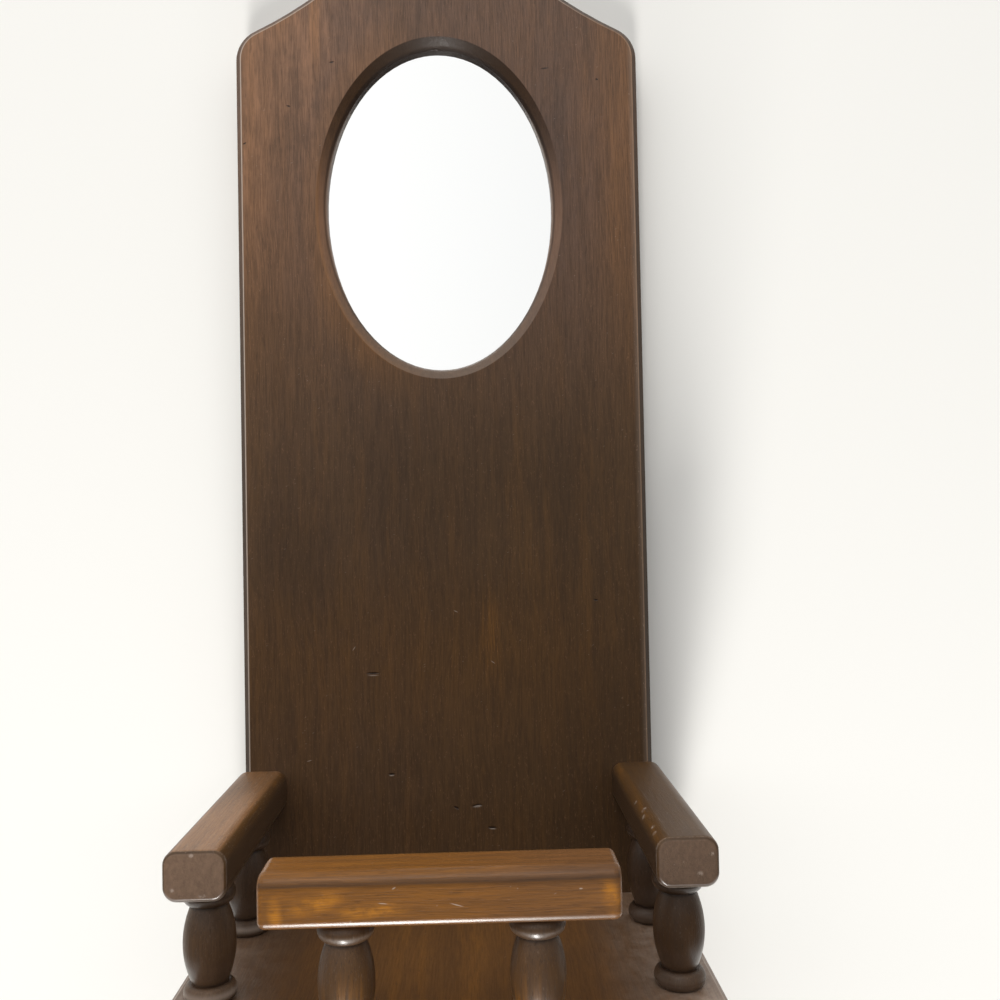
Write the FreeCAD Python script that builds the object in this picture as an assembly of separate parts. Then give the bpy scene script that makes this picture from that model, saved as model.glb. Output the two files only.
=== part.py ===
# Wall mirror with a railed shelf: a shaped backboard with an oval mirror, and a shelf with a turned gallery.
# Millimetres. X is to the right, Z is up, the wall is the plane y = 0 and the front faces -Y.
# The origin is the centre of the hanging hole in the backboard's rear face.
import FreeCAD, Part
import math
import os

# Backboard
board_width = 146.0
board_thickness = 16.0
shoulder_radius = 12.0
shoulder_slope = math.radians(25.8)
flank_radius = 150.0
flank_slope = math.radians(42)
shoulder_drop = 7.8         # from the oval's top down to the end of the straight sides
tail_reveal = 4.0           # straight side below the shelf, before the tail's curve

# Edge moulding of the board and the shelf
edge_bevel = 1.8
arris_round = 0.9

# Oval window, measured over its moulded rim
oval_width = 89.4
oval_height = 125.2
oval_above_shelf = 186.0
rim_width = 3.6
rim_depth = 3.6
rim_profile_shares = ((1.0, 0.0), (0.52, 0.35), (0.18, 0.67), (0.0, 1.0))  # of rim width and rim depth

# Mirror and what holds it in the rear rebate
lip_width = 6.6
glass_thickness = 3.0
back_thickness = 3.2
rebate_clearance = 0.4
button_recess = 4.3         # rear face of the board down to the mirror's back
button_thickness = 1.2
button_width = 9.0
button_overlap = 5.0        # how far a button reaches over the rebate's edge
button_setback = 7.0        # its pivot's distance outside the rebate
button_place = math.radians(45)
button_clearance = 0.1
pocket_clearance = 1.0

# Hanging keyhole, routed into the rear face
hang_wall = 5.4             # wood between the rebate and the entry hole
hang_hole_radius = 4.75
hang_slot_radius = 2.5
hang_slot_length = 12.0
hang_lip = 3.5
hang_depth = 9.0

# Shelf
shelf_thickness = 16.0
shelf_overhang = 6.0        # past the board on each side
shelf_reveal = 4.5          # past the front rail
shelf_corner_radius = 10.0

# Rails of the gallery
rail_width = 17.5
rail_height = 14.0
rail_edge_round = 4.0
arm_end_round = 1.4
arm_length = 87.0
arm_overhang = 2.75         # past the board on each side
front_rail_length = 92.0
front_rail_under_round = 2.2
front_rail_end_round = 2.0
front_rail_gap = 3.5        # in front of the arms' ends

# Spindles
spindle_height = 32.5
bead_radius = 7.4
bead_height = 5.2
bead_edge_radius = 5.8
neck_radius = 5.0
belly_radius = 7.4
tenon_radius = 3.2
tenon_length = 8.0
tenon_chamfer = 0.6
arm_spindle_inset = 15.5    # from an arm's front end
arm_spindle_offset = 24.0   # from the board's face
front_spindle_spacing = 49.5

# Screws
shelf_screw_head = 4.2
shelf_screw_shank = 2.1
shelf_screw_length = 38.0
shelf_screw_spacing = 48.0
arm_screw_head = 3.5
arm_screw_shank = 1.75
arm_screw_length = 32.0
screw_sink = 0.5            # heads lie this far below the rear face
screw_tip = 3.0
screw_slot_width = 1.0
screw_slot_depth = 0.9
button_screw_head = 2.9
button_screw_dome = 1.7
button_screw_shank = 1.4
button_screw_bite = 8.0

# Fits
fit_clearance = 0.05
hole_end_gap = 0.5
overrun = 1.0
edge_tolerance = 0.01

# Heights and depths worked out from the sizes above
front_y = -board_thickness
lip_thickness = board_thickness - glass_thickness - back_thickness - button_recess
opening_half_width = oval_width / 2 - rim_width
opening_half_height = oval_height / 2 - rim_width
rebate_half_width = opening_half_width + lip_width
rebate_half_height = opening_half_height + lip_width
button_reach = button_setback + button_overlap
oval_z = -(hang_hole_radius + hang_wall + rebate_half_height)
shoulder_z = oval_z + oval_height / 2 - shoulder_drop
shelf_top_z = oval_z - oval_height / 2 - oval_above_shelf
shelf_bottom_z = shelf_top_z - shelf_thickness
rail_bottom_z = shelf_top_z + spindle_height
rail_center_z = rail_bottom_z + rail_height / 2
arm_x = board_width / 2 + arm_overhang - rail_width / 2
arm_end_y = front_y - arm_length
front_rail_y = arm_end_y - front_rail_gap - rail_width / 2
shelf_front_y = front_rail_y - rail_width / 2 - shelf_reveal
shelf_half_width = board_width / 2 + shelf_overhang

spindle_places = {
    "spindle_left_front": (-arm_x, arm_end_y + arm_spindle_inset),
    "spindle_left_back": (-arm_x, front_y - arm_spindle_offset),
    "spindle_right_front": (arm_x, arm_end_y + arm_spindle_inset),
    "spindle_right_back": (arm_x, front_y - arm_spindle_offset),
    "spindle_front_left": (-front_spindle_spacing / 2, front_rail_y),
    "spindle_front_right": (front_spindle_spacing / 2, front_rail_y),
}
button_sides = {
    "turn_button_upper_left": (-1, 1),
    "turn_button_upper_right": (1, 1),
    "turn_button_lower_left": (-1, -1),
    "turn_button_lower_right": (1, -1),
}

UP = FreeCAD.Vector(0, 0, 1)
BACK = FreeCAD.Vector(0, 1, 0)


def vector(x, y, z):
    return FreeCAD.Vector(x, y, z)


def face_of(edges):
    return Part.Face(Part.Wire(edges))


def line(start, end):
    return Part.LineSegment(start, end).toShape()


def arc(start, middle, end):
    return Part.Arc(start, middle, end).toShape()


def path(points):
    return [line(a, b) for a, b in zip(points, points[1:])]


def cylinder_back(radius, x, z, low_y, high_y):
    """A cylinder along Y between two depths."""
    return Part.makeCylinder(radius, high_y - low_y, vector(x, low_y, z), BACK)


def slot_back(radius, x, low_z, high_z, low_y, high_y):
    """A round-ended upright slot along Y."""
    block = Part.makeBox(2 * radius, high_y - low_y, high_z - low_z, vector(x - radius, low_y, low_z))
    lower = cylinder_back(radius, x, low_z, low_y, high_y)
    upper = cylinder_back(radius, x, high_z, low_y, high_y)
    return block.fuse([lower, upper]).removeSplitter()


def oval_wire(half_width, half_height, y):
    ellipse = Part.Ellipse(
        vector(0, y, oval_z + half_height), vector(half_width, y, oval_z), vector(0, y, oval_z)
    )
    return Part.Wire([ellipse.toShape()])


def oval_plate(half_width, half_height, low_y, high_y):
    return Part.Face(oval_wire(half_width, half_height, low_y)).extrude(BACK * (high_y - low_y))


def edges_along(shape, direction):
    """The straight edges that run along one axis."""
    found = []
    for edge in shape.Edges:
        if len(edge.Vertexes) == 2:
            run = edge.Vertexes[1].Point - edge.Vertexes[0].Point
            if run.cross(direction).Length < edge_tolerance:
                found.append(edge)
    return found


def edges_on(shape, axis, place):
    """The edges that lie in the plane where one coordinate has the given value."""
    return [
        edge
        for edge in shape.Edges
        if abs(getattr(edge.BoundBox, axis + "Min") - place) < edge_tolerance
        and abs(getattr(edge.BoundBox, axis + "Max") - place) < edge_tolerance
    ]


def end_outline(straight_end_z, upward):
    """The shaped end of the board from its right side to its left: shoulder, hollow flank, dome."""
    corner_x = board_width / 2 - shoulder_radius

    def on_shoulder(slope):
        return (corner_x + shoulder_radius * math.sin(slope), shoulder_radius * math.cos(slope))

    def on_flank(slope):
        x, rise = on_shoulder(shoulder_slope)
        x += flank_radius * (math.sin(shoulder_slope) - math.sin(slope))
        return (x, rise + flank_radius * (math.cos(shoulder_slope) - math.cos(slope)))

    flank_x, flank_rise = on_flank(flank_slope)
    dome_radius = flank_x / math.sin(flank_slope)
    dome_rise = flank_rise + dome_radius * (1 - math.cos(flank_slope))

    def point(place, side):
        return vector(side * place[0], front_y, straight_end_z + upward * place[1])

    def half(side):
        shoulder = [on_shoulder(math.pi / 2), on_shoulder((math.pi / 2 + shoulder_slope) / 2)]
        mid_slope = (shoulder_slope + flank_slope) / 2
        flank = [on_flank(shoulder_slope), on_flank(mid_slope), on_flank(flank_slope)]
        return [
            arc(*[point(place, side) for place in shoulder + flank[:1]]),
            arc(*[point(place, side) for place in flank]),
        ]

    dome = arc(point((flank_x, flank_rise), 1), point((0, dome_rise), 1), point((flank_x, flank_rise), -1))
    return half(1) + [dome] + half(-1)[::-1]


def screw(head, shank, length, grow=0.0, mouth=0.0):
    """A countersunk screw along Y with its head at y = 0, or with grow and mouth the hole for it."""
    rim = head + grow
    body = shank + grow
    neck_z = shank - head
    points = [
        vector(0, 0, mouth),
        vector(rim, 0, mouth),
        vector(rim, 0, 0),
        vector(body, 0, neck_z),
        vector(body, 0, screw_tip - length),
        vector(0, 0, -length - grow),
    ]
    if not mouth:
        points.pop(1)
    solid = face_of(path(points + points[:1])).revolve(vector(0, 0, 0), UP, 360)
    if not mouth:
        slot = Part.makeBox(
            2 * (head + overrun), screw_slot_width, screw_slot_depth + overrun,
            vector(-head - overrun, -screw_slot_width / 2, -screw_slot_depth),
        )
        solid = solid.cut(slot)
    solid.rotate(vector(0, 0, 0), vector(1, 0, 0), -90)
    return solid


def placed_screws(places, head, shank, length):
    """Screws sunk into the rear face at the given x and z, and the holes that take them."""
    screws = []
    holes = []
    for x, z in places:
        spot = vector(x, -screw_sink, z)
        screws.append(screw(head, shank, length).translated(spot))
        holes.append(screw(head, shank, length, fit_clearance, screw_sink + overrun).translated(spot))
    return screws, holes


def button_pivot(side, upward):
    """A turn button's pivot, and the direction from it towards the mirror."""
    rim_x = rebate_half_width * math.cos(button_place)
    rim_z = rebate_half_height * math.sin(button_place)
    outward = vector(rim_x / rebate_half_width**2, 0, rim_z / rebate_half_height**2).normalize()
    pivot = vector(rim_x, 0, rim_z) + outward * button_setback
    inward = vector(-side * outward.x, 0, -upward * outward.z)
    return vector(side * pivot.x, -button_recess, oval_z + upward * pivot.z), inward


def turn_button(side, upward):
    """A flat round-ended button that turns on its screw."""
    pivot, inward = button_pivot(side, upward)
    radius = button_width / 2
    across = inward.cross(BACK) * radius
    seat = pivot + BACK * button_clearance
    tip = seat + inward * (button_reach - radius)
    outline = [
        line(seat + across, tip + across),
        arc(tip + across, tip + inward * radius, tip - across),
        line(tip - across, seat - across),
        arc(seat - across, seat - inward * radius, seat + across),
    ]
    plate = face_of(outline).extrude(BACK * button_thickness)
    hole = cylinder_back(button_screw_shank + fit_clearance, pivot.x, pivot.z, pivot.y, overrun)
    return plate.cut(hole)


def turn_button_screw(side, upward, grow=0.0):
    """A round-head screw that carries one turn button, or with grow the pilot hole for its shank."""
    pivot, _ = button_pivot(side, upward)
    seat = button_thickness + 2 * button_clearance
    body = button_screw_shank + grow
    tip = -button_screw_bite - grow
    if grow:
        points = [vector(0, 0, tip), vector(body, 0, tip + screw_tip), vector(body, 0, 0), vector(0, 0, 0)]
        solid = face_of(path(points + points[:1])).revolve(vector(0, 0, 0), UP, 360)
    else:
        points = [
            vector(0, 0, seat + button_screw_dome),
            vector(0, 0, tip),
            vector(body, 0, tip + screw_tip),
            vector(body, 0, seat),
            vector(button_screw_head, 0, seat),
        ]
        dome_radius = (button_screw_head**2 + button_screw_dome**2) / (2 * button_screw_dome)
        half_turn = math.asin(button_screw_head / dome_radius) / 2
        dome_center = seat + button_screw_dome - dome_radius
        middle = vector(dome_radius * math.sin(half_turn), 0, dome_center + dome_radius * math.cos(half_turn))
        solid = face_of(path(points) + [arc(points[-1], middle, points[0])]).revolve(
            vector(0, 0, 0), UP, 360
        )
        slot = Part.makeBox(
            2 * button_screw_head, screw_slot_width, button_screw_dome,
            vector(-button_screw_head, -screw_slot_width / 2, seat + button_screw_dome - screw_slot_depth),
        )
        solid = solid.cut(slot)
    solid.rotate(vector(0, 0, 0), vector(1, 0, 0), -90)
    return solid.translated(pivot)


def spindle():
    """One turned spindle standing on z = 0: tenon, bead, belly, bead, tenon."""
    top = spindle_height

    def bead(low, high):
        return arc(
            vector(bead_edge_radius, 0, low),
            vector(bead_radius, 0, (low + high) / 2),
            vector(bead_edge_radius, 0, high),
        )

    foot = [
        vector(0, 0, -tenon_length),
        vector(tenon_radius - tenon_chamfer, 0, -tenon_length),
        vector(tenon_radius, 0, tenon_chamfer - tenon_length),
        vector(tenon_radius, 0, 0),
        vector(bead_edge_radius, 0, 0),
    ]
    head = [vector(p.x, 0, top - p.z) for p in reversed(foot)]
    lower_neck = vector(neck_radius, 0, bead_height)
    upper_neck = vector(neck_radius, 0, top - bead_height)
    profile = path(foot)
    profile.append(bead(0, bead_height))
    profile.append(line(vector(bead_edge_radius, 0, bead_height), lower_neck))
    profile.append(arc(lower_neck, vector(belly_radius, 0, top / 2), upper_neck))
    profile.append(line(upper_neck, vector(bead_edge_radius, 0, top - bead_height)))
    profile.append(bead(top - bead_height, top))
    profile += path(head)
    profile.append(line(head[-1], foot[0]))
    return face_of(profile).revolve(vector(0, 0, 0), UP, 360)


def tenon_holes(z, upward):
    """Blind holes for the spindles' tenons, going down from z or up from it."""
    depth = tenon_length + hole_end_gap
    holes = []
    for x, y in spindle_places.values():
        start = vector(x, y, z - upward * overrun)
        holes.append(Part.makeCylinder(tenon_radius + fit_clearance, depth + overrun, start, UP * upward))
    return holes


def rail(length_x, length_y, center_x, center_y, under_round):
    """A rail with rounded long edges, and its ends still square."""
    block = Part.makeBox(
        length_x, length_y, rail_height,
        vector(center_x - length_x / 2, center_y - length_y / 2, rail_bottom_z),
    )
    long_way = vector(1, 0, 0) if length_x > length_y else BACK
    upper = [edge for edge in edges_along(block, long_way) if edge.BoundBox.ZMin > rail_center_z]
    block = block.makeFillet(rail_edge_round, upper)
    lower = [edge for edge in edges_along(block, long_way) if edge.BoundBox.ZMax < rail_center_z]
    return block.makeFillet(under_round, lower)


def make_backboard(screw_holes):
    top = end_outline(shoulder_z, 1)
    bottom = end_outline(shelf_bottom_z - tail_reveal, -1)
    half = board_width / 2
    right = line(vector(half, front_y, shelf_bottom_z - tail_reveal), vector(half, front_y, shoulder_z))
    left = line(vector(-half, front_y, shoulder_z), vector(-half, front_y, shelf_bottom_z - tail_reveal))
    outline = Part.Wire(Part.__sortEdges__([right] + top + [left] + bottom))
    board = Part.Face(outline).extrude(BACK * board_thickness)
    board = board.makeChamfer(edge_bevel, edges_on(board, "Y", front_y))
    board = board.makeFillet(arris_round, edges_on(board, "Y", front_y))

    rim_sections = [
        oval_wire(
            opening_half_width + across * rim_width,
            opening_half_height + across * rim_width,
            front_y + down * rim_depth,
        )
        for across, down in rim_profile_shares
    ]
    rim = Part.makeLoft(rim_sections, True)
    rebate_y = front_y + lip_thickness
    opening = oval_plate(opening_half_width, opening_half_height, front_y, rebate_y + overrun)
    rebate = oval_plate(rebate_half_width, rebate_half_height, rebate_y, overrun)
    board = board.cut(rim).cut(opening).cut(rebate)

    for side, upward in button_sides.values():
        pivot, _ = button_pivot(side, upward)
        pocket = cylinder_back(button_reach + pocket_clearance, pivot.x, pivot.z, -button_recess, overrun)
        board = board.cut(pocket).cut(turn_button_screw(side, upward, fit_clearance))

    entry = cylinder_back(hang_hole_radius, 0, 0, -hang_depth, overrun)
    slot = slot_back(hang_slot_radius, 0, 0, hang_slot_length, -hang_depth, overrun)
    undercut = slot_back(hang_hole_radius, 0, 0, hang_slot_length, -hang_depth, -hang_lip)
    return board.cut(entry).cut(slot).cut(undercut).cut(screw_holes)


def shelf_rim(block):
    """The edges round the shelf's top and underside, but for those against the board."""
    rim = edges_on(block, "Z", shelf_top_z) + edges_on(block, "Z", shelf_bottom_z)
    return [edge for edge in rim if edge.BoundBox.YMin < front_y - edge_tolerance]


def make_shelf(screw_holes):
    depth = front_y - shelf_front_y
    block = Part.makeBox(
        2 * shelf_half_width, depth, shelf_thickness, vector(-shelf_half_width, shelf_front_y, shelf_bottom_z)
    )
    corners = [edge for edge in edges_along(block, UP) if edge.BoundBox.YMax < front_y - edge_tolerance]
    block = block.makeFillet(shelf_corner_radius, corners)
    block = block.makeChamfer(edge_bevel, shelf_rim(block))
    block = block.makeFillet(arris_round, shelf_rim(block))
    return block.cut(tenon_holes(shelf_top_z, -1)).cut(screw_holes)


def make_arm(side, screw_holes):
    arm = rail(rail_width, arm_length, side * arm_x, front_y - arm_length / 2, rail_edge_round)
    arm = arm.makeFillet(arm_end_round, edges_on(arm, "Y", arm_end_y))
    return arm.cut(tenon_holes(rail_bottom_z, 1)).cut(screw_holes)


def make_front_rail():
    bar = rail(front_rail_length, rail_width, 0, front_rail_y, front_rail_under_round)
    half = front_rail_length / 2
    bar = bar.makeFillet(front_rail_end_round, edges_on(bar, "X", half) + edges_on(bar, "X", -half))
    return bar.cut(tenon_holes(rail_bottom_z, 1))


def build():
    shelf_center_z = shelf_top_z - shelf_thickness / 2
    shelf_screw_places = [(step * shelf_screw_spacing, shelf_center_z) for step in (-1, 0, 1)]
    arm_screw_places = [(side * arm_x, rail_center_z) for side in (-1, 1)]
    shelf_screws, shelf_holes = placed_screws(
        shelf_screw_places, shelf_screw_head, shelf_screw_shank, shelf_screw_length
    )
    arm_screws, arm_holes = placed_screws(arm_screw_places, arm_screw_head, arm_screw_shank, arm_screw_length)

    glass_y = front_y + lip_thickness
    sheet_half_width = rebate_half_width - rebate_clearance
    sheet_half_height = rebate_half_height - rebate_clearance
    back_y = glass_y + glass_thickness
    button_screws = [turn_button_screw(*sides) for sides in button_sides.values()]
    parts = {
        "backboard": make_backboard(shelf_holes + arm_holes),
        "mirror_glass": oval_plate(sheet_half_width, sheet_half_height, glass_y, back_y),
        "mirror_back": oval_plate(sheet_half_width, sheet_half_height, back_y, back_y + back_thickness),
        "shelf": make_shelf(shelf_holes),
        "shelf_screws": Part.makeCompound(shelf_screws),
        "arm_rail_left": make_arm(-1, arm_holes),
        "arm_rail_right": make_arm(1, arm_holes),
        "arm_screws": Part.makeCompound(arm_screws),
        "front_rail": make_front_rail(),
        "turn_button_screws": Part.makeCompound(button_screws),
    }
    for name, sides in button_sides.items():
        parts[name] = turn_button(*sides)
    turned = spindle()
    for name, (x, y) in spindle_places.items():
        parts[name] = turned.translated(vector(x, y, shelf_top_z))
    return parts


os.makedirs("parts", exist_ok=True)
for name, shape in build().items():
    shape.exportStep(os.path.join("parts", name + ".step"))
    print(name, len(shape.Solids), "solids", round(shape.Volume, 1), "mm3, valid:", shape.isValid())
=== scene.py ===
"""Finishes, stage and camera for the wall mirror with a railed shelf."""

from math import radians

import bmesh
import bpy
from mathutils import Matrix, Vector


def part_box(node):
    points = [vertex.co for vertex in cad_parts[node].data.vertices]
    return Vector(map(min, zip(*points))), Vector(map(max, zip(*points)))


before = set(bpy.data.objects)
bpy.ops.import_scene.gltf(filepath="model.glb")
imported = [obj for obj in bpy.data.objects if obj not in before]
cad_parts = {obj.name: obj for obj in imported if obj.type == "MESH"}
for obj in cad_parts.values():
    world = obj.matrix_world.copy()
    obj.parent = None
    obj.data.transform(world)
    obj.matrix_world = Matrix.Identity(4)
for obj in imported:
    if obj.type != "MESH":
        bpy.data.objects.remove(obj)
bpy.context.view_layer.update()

bl_info = {
    "name": "Wall Mirror with Railed Shelf",
    "version": (1, 0, 0),
    "blender": (4, 5, 0),
    "location": "3D View > Sidebar > Wall Mirror",
    "description": "Finishes a wall mirror with a railed shelf, and sets its stage",
    "category": "Object",
}

# Places that the finishes go by. The glass lies in the middle of the oval window.
glass_low, glass_high = (Vector(corner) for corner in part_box("mirror_glass"))
oval_centre = (glass_low + glass_high) / 2
board_low = Vector(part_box("backboard")[0])
shelf_high = Vector(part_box("shelf")[1])
rail_low = Vector(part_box("front_rail")[0])

# Half width and half height of the oval's moulded rim.
RIM_HALF = (0.0447, 0.0626)

# Colours beside those of the settings: dirt in nicks and grooves, stain wiped over the board's
# back, tarnished silver, dark and light fibres of the hardboard, and zinc that has gone dull.
GRIME = (0.012, 0.006, 0.004)
WIPED_DARK = (0.110, 0.060, 0.030)
WIPED_LIGHT = (0.190, 0.110, 0.058)
TARNISH = (0.40, 0.38, 0.34)
PRESSED_DARK = (0.095, 0.048, 0.022)
PRESSED_LIGHT = (0.30, 0.19, 0.10)
DULL_ZINC = (0.42, 0.36, 0.25)

# Depths of the finishes' relief, in metres.
WOOD_DEPTH = 0.00005
ARM_DEPTH = 0.00007
HARDBOARD_DEPTH = 0.00008
GLASS_DEPTH = 0.00001
METAL_DEPTH = 0.00003

ARMS = ("arm_rail_left", "arm_rail_right")
SPINDLES = (
    "spindle_left_front",
    "spindle_left_back",
    "spindle_right_front",
    "spindle_right_back",
    "spindle_front_left",
    "spindle_front_right",
)
BUTTONS = (
    "turn_button_upper_left",
    "turn_button_upper_right",
    "turn_button_lower_left",
    "turn_button_lower_right",
)
SCREWS = ("turn_button_screws", "shelf_screws", "arm_screws")

# How a piece's coordinates are turned so that its grain runs along the pattern's Z.
GRAIN_UP = (0.0, 0.0, 0.0)
GRAIN_TO_FRONT = (radians(90), 0.0, 0.0)
GRAIN_ACROSS = (0.0, radians(-90), 0.0)

# Nicks in the board's face: place across and up, half size across and up, turn in degrees.
BOARD_NICKS = (
    (0.0393, -0.0252, 0.0017, 0.00035, 8),
    (0.0583, -0.0294, 0.0006, 0.00050, 0),
    (-0.0382, -0.0224, 0.0011, 0.00045, 12),
    (-0.0540, -0.0384, 0.0010, 0.00040, -20),
    (-0.0700, -0.0519, 0.0009, 0.00040, 30),
    (-0.0268, -0.2439, 0.0029, 0.00045, 0),
    (0.0537, -0.2194, 0.0010, 0.00040, -10),
    (0.0096, -0.2920, 0.0024, 0.00075, 6),
    (0.0021, -0.2925, 0.0013, 0.00050, -30),
    (0.0148, -0.2999, 0.0020, 0.00050, -4),
    (-0.0208, -0.2800, 0.0014, 0.00050, 0),
)
# Pale scratches in the board's face, in the same way.
BOARD_SCRATCHES = (
    (-0.0335, -0.2349, 0.0012, 0.00020, 55),
    (0.0032, -0.2224, 0.0011, 0.00022, -25),
    (0.0162, -0.2409, 0.0012, 0.00022, -35),
    (-0.0500, -0.2745, 0.0012, 0.00020, 15),
    (-0.0268, -0.2447, 0.0025, 0.00022, 0),
    (0.0097, -0.2921, 0.0019, 0.00042, 6),
    (0.0150, -0.3004, 0.0015, 0.00025, -4),
    (-0.0208, -0.2805, 0.0012, 0.00025, 0),
)
# Warm streaks in the board's face, in the same way.
BOARD_STREAKS = (
    (0.0153, -0.2319, 0.0052, 0.0230, 0),
    (-0.0560, 0.0060, 0.0060, 0.0260, 0),
    (-0.0440, -0.0050, 0.0030, 0.0300, 0),
)
# Patches of the front rail where the stain has worn through to amber, in the same way.
RAIL_AMBER = (
    (-0.0412, -0.2875, 0.0026, 0.0055, 6),
    (-0.0310, -0.2852, 0.0100, 0.0034, 14),
    (-0.0170, -0.2872, 0.0120, 0.0028, 4),
    (0.0430, -0.2855, 0.0034, 0.0065, 15),
)
# Nicks in the arms' outer upper edges: place, half size every way, turn in degrees.
ARM_NICKS = (
    ((-0.0748, -0.0430, -0.2785), (0.0012, 0.0016, 0.0010), 0),
    ((0.0748, -0.0740, -0.2785), (0.0012, 0.0014, 0.0010), 0),
)
# Pale chips along the right arm's inner edge and on both sawn ends, in the same way.
ARM_CHIPS = (
    ((0.0590, -0.0628, -0.2790), (0.0010, 0.0012, 0.0012), 0),
    ((0.0596, -0.0738, -0.2787), (0.0010, 0.0014, 0.0010), 0),
    ((0.0590, -0.0779, -0.2792), (0.0012, 0.0016, 0.0014), 0),
    ((0.0604, -0.0729, -0.2785), (0.0010, 0.0012, 0.0008), 0),
    ((0.0598, -0.0899, -0.2788), (0.0010, 0.0014, 0.0010), 0),
    ((0.0594, -0.0945, -0.2790), (0.0010, 0.0012, 0.0012), 0),
    ((-0.0676, -0.1030, -0.2791), (0.0010, 0.0030, 0.0007), 0),
    ((-0.0729, -0.1030, -0.2882), (0.0009, 0.0030, 0.0007), 0),
    ((-0.0648, -0.1030, -0.2899), (0.0014, 0.0030, 0.0007), 0),
    ((0.0701, -0.1030, -0.2878), (0.0012, 0.0030, 0.0010), 0),
    ((0.0736, -0.1030, -0.2825), (0.0010, 0.0030, 0.0007), 0),
)
# Pale scratches in the front rail's face, as in the board's.
RAIL_SCRATCHES = (
    (0.0042, -0.2864, 0.0022, 0.00020, -16),
    (-0.0143, -0.2855, 0.0016, 0.00018, -6),
    (-0.0115, -0.2818, 0.0007, 0.00022, 30),
    (0.0354, -0.2832, 0.0006, 0.00025, 0),
)
# How deep such marks reach into a face that looks to the front.
MARK_REACH = 0.01

# Lamps: place, target, width and height, power.
LAMPS = {
    "low_lamp": ((-0.16, -0.955, -1.95), (0.0, 0.0, -0.2), (0.28, 1.22), 40.0),
    "high_lamp": ((-0.10, -0.80, 0.75), (0.0, 0.0, 0.0), (0.7, 0.5), 3.0),
    "back_lamp": ((0.0, 1.6, -0.2), (0.0, 0.0, -0.2), (1.2, 1.2), 12.0),
}
LAMP_COLOUR = (1.0, 0.985, 0.96)

# The wall stands just behind the board, and the floor runs forward from it.
WALL_PLACE = (0.0, 0.0006, -0.2)
WALL_TURN = (radians(90), 0.0, 0.0)
FLOOR_FORWARD = -1.5
SHEET_HALF = 3.0

CAMERA_PLACE = (0.01013, -0.37684, -0.19127)
CAMERA_TURN = (radians(91.3677), radians(1.1228), radians(-1.5211))
FILM_WIDTH = 36.0
NEAREST, FARTHEST = 0.01, 20.0


def place(tree, kind, inputs=None, **settings):
    """Adds a node, applies its settings, and fills its inputs with values or links."""
    node = tree.nodes.new(kind)
    for key, value in settings.items():
        setattr(node, key, value)
    for key, value in (inputs or {}).items():
        socket = node.inputs[key]
        if isinstance(value, bpy.types.NodeSocket):
            tree.links.new(value, socket)
        else:
            socket.default_value = value
    return node


def reckon(tree, operation, *values, clamp=False):
    """One sum on values of the surface."""
    inputs = dict(enumerate(values))
    return place(tree, "ShaderNodeMath", inputs, operation=operation, use_clamp=clamp).outputs[0]


def vectors(tree, operation, *values):
    """One sum on vectors of the surface."""
    node = place(tree, "ShaderNodeVectorMath", dict(enumerate(values)), operation=operation)
    return node.outputs["Value" if operation == "LENGTH" else "Vector"]


def times(tree, *values):
    """The product of some values of the surface."""
    product = values[0]
    for value in values[1:]:
        product = reckon(tree, "MULTIPLY", product, value)
    return product


def scaled(tree, value, factor, plus, clamp=False):
    """A value times a factor, and then some more."""
    return reckon(tree, "MULTIPLY_ADD", value, factor, plus, clamp=clamp)


def ramp(tree, value, start, end, low=0.0, high=1.0):
    """Carries a value smoothly from low at start to high at end."""
    inputs = {"Value": value, "From Min": start, "From Max": end, "To Min": low, "To Max": high}
    node = place(tree, "ShaderNodeMapRange", inputs, interpolation_type="SMOOTHSTEP")
    return node.outputs["Result"]


def band(tree, value, start, middle, end):
    """A mask that rises from start to middle and falls again to end."""
    return times(tree, ramp(tree, value, start, middle), ramp(tree, value, end, middle))


def tint(tree, amount, below, above):
    """Lays one colour over another by a mask."""
    inputs = {0: amount, 6: rgba(below), 7: rgba(above)}
    return place(tree, "ShaderNodeMix", inputs, data_type="RGBA").outputs[2]


def rgba(colour):
    """A plain colour with full cover, or a colour of the surface as it is."""
    return colour if isinstance(colour, bpy.types.NodeSocket) else (*colour, 1.0)


def stretched(tree, vector, across, along):
    """Coordinates in which a pattern's marks are that far across and along the grain."""
    return vectors(tree, "MULTIPLY", vector, (1 / across, 1 / across, 1 / along))


def noise(tree, vector, detail=2.0, roughness=0.5, distortion=0.0):
    inputs = {"Vector": vector, "Scale": 1.0}
    inputs.update({"Detail": detail, "Roughness": roughness, "Distortion": distortion})
    return place(tree, "ShaderNodeTexNoise", inputs).outputs["Fac"]


def new_group(name, inputs, outputs):
    """An empty shader group with named sockets, and its two end nodes."""
    tree = bpy.data.node_groups.new(name, "ShaderNodeTree")
    for label, kind, default in inputs:
        socket = tree.interface.new_socket(label, in_out="INPUT", socket_type=kind)
        if default is not None:
            socket.default_value = default
    for label in outputs:
        tree.interface.new_socket(label, in_out="OUTPUT", socket_type="NodeSocketFloat")
    return tree, tree.nodes.new("NodeGroupInput").outputs, tree.nodes.new("NodeGroupOutput").inputs


def shared(name, make):
    """The group of that name, built the first time it is asked for."""
    return bpy.data.node_groups.get(name) or make(name)


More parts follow.
